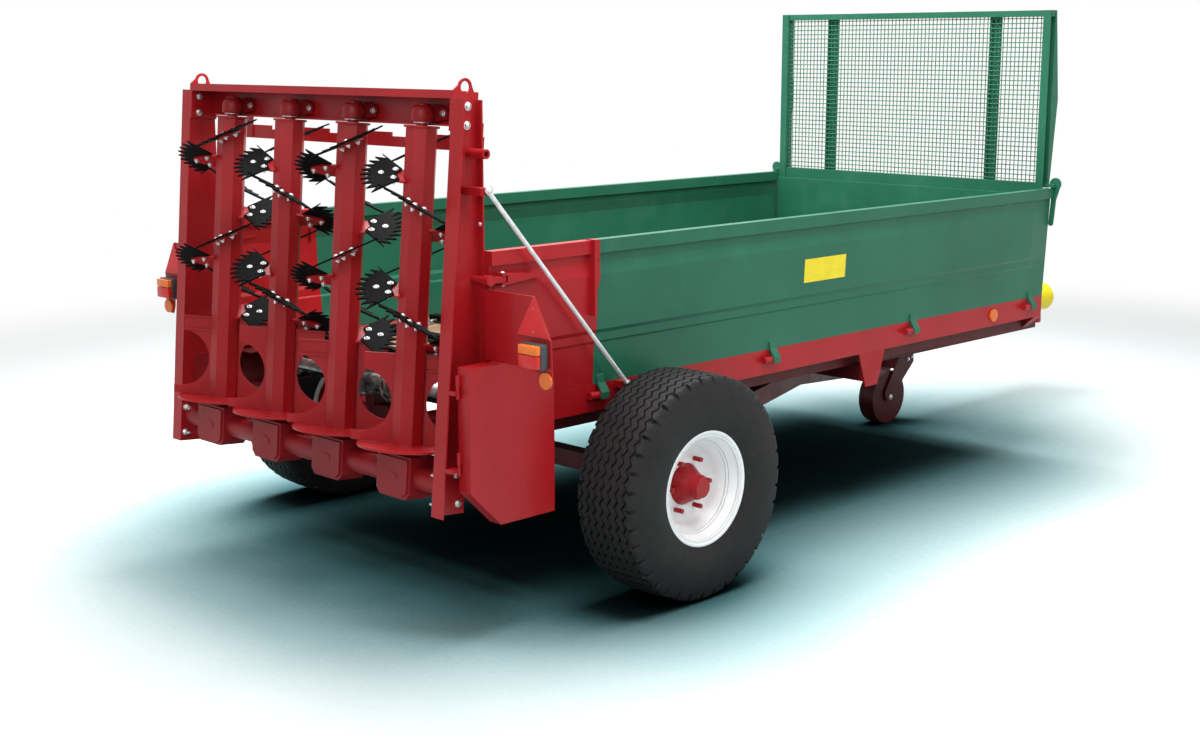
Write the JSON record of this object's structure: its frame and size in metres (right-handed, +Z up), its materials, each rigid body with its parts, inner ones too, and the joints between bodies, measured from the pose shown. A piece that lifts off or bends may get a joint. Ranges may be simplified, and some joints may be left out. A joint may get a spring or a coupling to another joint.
{
  "type": "manure spreader",
  "caption": "Single-axle trailed manure spreader with a low open box, scraper floor, mesh front guard and upright toothed beaters at the rear.",
  "frame": {"origin": "on the ground, on the centreline, half way along the whole machine", "axes": "+X forward towards the tow eye, +Y to the left, +Z up"},
  "size_m": [5.4645, 2.4248, 2.187],
  "materials": {
    "tyre": "matt rubber",
    "rim_white": "gloss",
    "red": "gloss",
    "green": "gloss",
    "black": "satin",
    "zinc": "zinc plated",
    "steel": "bare steel",
    "lamp": "clear coat",
    "amber": "prismatic",
    "yellow": "moulded",
    "wood": "planks"
  },
  "bodies": {
    "chassis": {"axle_beam": "red", "bearing_housings": "red", "corner_latches": "green", "cross_members": "red", "drawbar": "red", "drive_tube": "red", "floor_deck": "wood", "front_board": "green", "gate_frame": "green", "gate_mesh": "green", "gearcases": "red", "guard_hinge_pins": "red", "hinge_bosses": "red", "input_bearing": "red", "jockey_bracket": "red", "lamp_panel_left": "red", "lamp_panel_right": "red", "main_beam_left": "red", "main_beam_right": "red", "notched_crossbar": "red", "post_clamps": "red", "pto_cradle": "red", "pto_guard": "yellow", "rear_lamps": "lamp", "rear_panel_left": "red", "rear_panel_right": "red", "rear_post_left": "red", "rear_post_right": "red", "reflectors": "amber", "scraper_chains": "steel", "scraper_shafts": "steel", "scraper_slats": "steel", "side_board_left": "green", "side_board_right": "green", "side_rail_left": "red", "side_rail_right": "red", "stay_left": "zinc", "stay_lugs": "red", "stay_right": "zinc", "top_beam": "red", "tow_eye": "red"},
    "wheel_left": {"tyre_left": "tyre", "rim_left": "rim_white", "hub_left": "red"},
    "wheel_right": {"tyre_right": "tyre", "rim_right": "rim_white", "hub_right": "red"},
    "rotor_1": {"beater_1": "red", "blades_1": "black"},
    "rotor_2": {"beater_2": "red", "blades_2": "black"},
    "rotor_3": {"beater_3": "red", "blades_3": "black"},
    "rotor_4": {"beater_4": "red", "blades_4": "black"},
    "jockey_leg": {"jockey_fork": "red"},
    "jockey_roller": {"jockey_wheel": "red"},
    "guard_door": {"drive_guard": "red"},
    "pto_drive": {"pto_shaft": "steel"}
  },
  "joints": [
    {"name": "wheel_left_spin", "type": "hinge", "parent": "chassis", "child": "wheel_left", "pos_m": [-1.65766, 1.067, 0.4225], "axis": [0, 1, 0], "continuous": true},
    {"name": "wheel_right_spin", "type": "hinge", "parent": "chassis", "child": "wheel_right", "pos_m": [-1.65766, -1.067, 0.4225], "axis": [0, 1, 0], "continuous": true},
    {"name": "beater_1_spin", "type": "hinge", "parent": "chassis", "child": "rotor_1", "pos_m": [-2.55766, 0.582, 0.639], "axis": [0.0872, 0, 0.9962], "continuous": true},
    {"name": "beater_2_spin", "type": "hinge", "parent": "chassis", "child": "rotor_2", "pos_m": [-2.55766, 0.194, 0.639], "axis": [0.0872, 0, 0.9962], "continuous": true},
    {"name": "beater_3_spin", "type": "hinge", "parent": "chassis", "child": "rotor_3", "pos_m": [-2.55766, -0.194, 0.639], "axis": [0.0872, 0, 0.9962], "continuous": true},
    {"name": "beater_4_spin", "type": "hinge", "parent": "chassis", "child": "rotor_4", "pos_m": [-2.55766, -0.582, 0.639], "axis": [0.0872, 0, 0.9962], "continuous": true},
    {"name": "jockey_fold", "type": "hinge", "parent": "chassis", "child": "jockey_leg", "pos_m": [1.44234, 0.11, 0.336], "axis": [0, -1, 0], "range_deg": [0, 128]},
    {"name": "jockey_wheel_spin", "type": "hinge", "parent": "jockey_leg", "child": "jockey_roller", "pos_m": [1.28634, 0.1134, 0.145], "axis": [0, 1, 0], "continuous": true},
    {"name": "guard_door_swing", "type": "hinge", "parent": "chassis", "child": "guard_door", "pos_m": [-2.57666, -0.885, 0.6], "axis": [0, 0, -1], "range_deg": [0, 45]},
    {"name": "pto_shaft_spin", "type": "hinge", "parent": "chassis", "child": "pto_drive", "pos_m": [2.04234, 0, 0.555], "axis": [1, 0, 0], "continuous": true}
  ],
  "couplings": [
    {"joint": "beater_2_spin", "follows": "beater_1_spin", "ratio": -1},
    {"joint": "beater_3_spin", "follows": "beater_1_spin", "ratio": 1},
    {"joint": "beater_4_spin", "follows": "beater_1_spin", "ratio": -1}
  ]
}
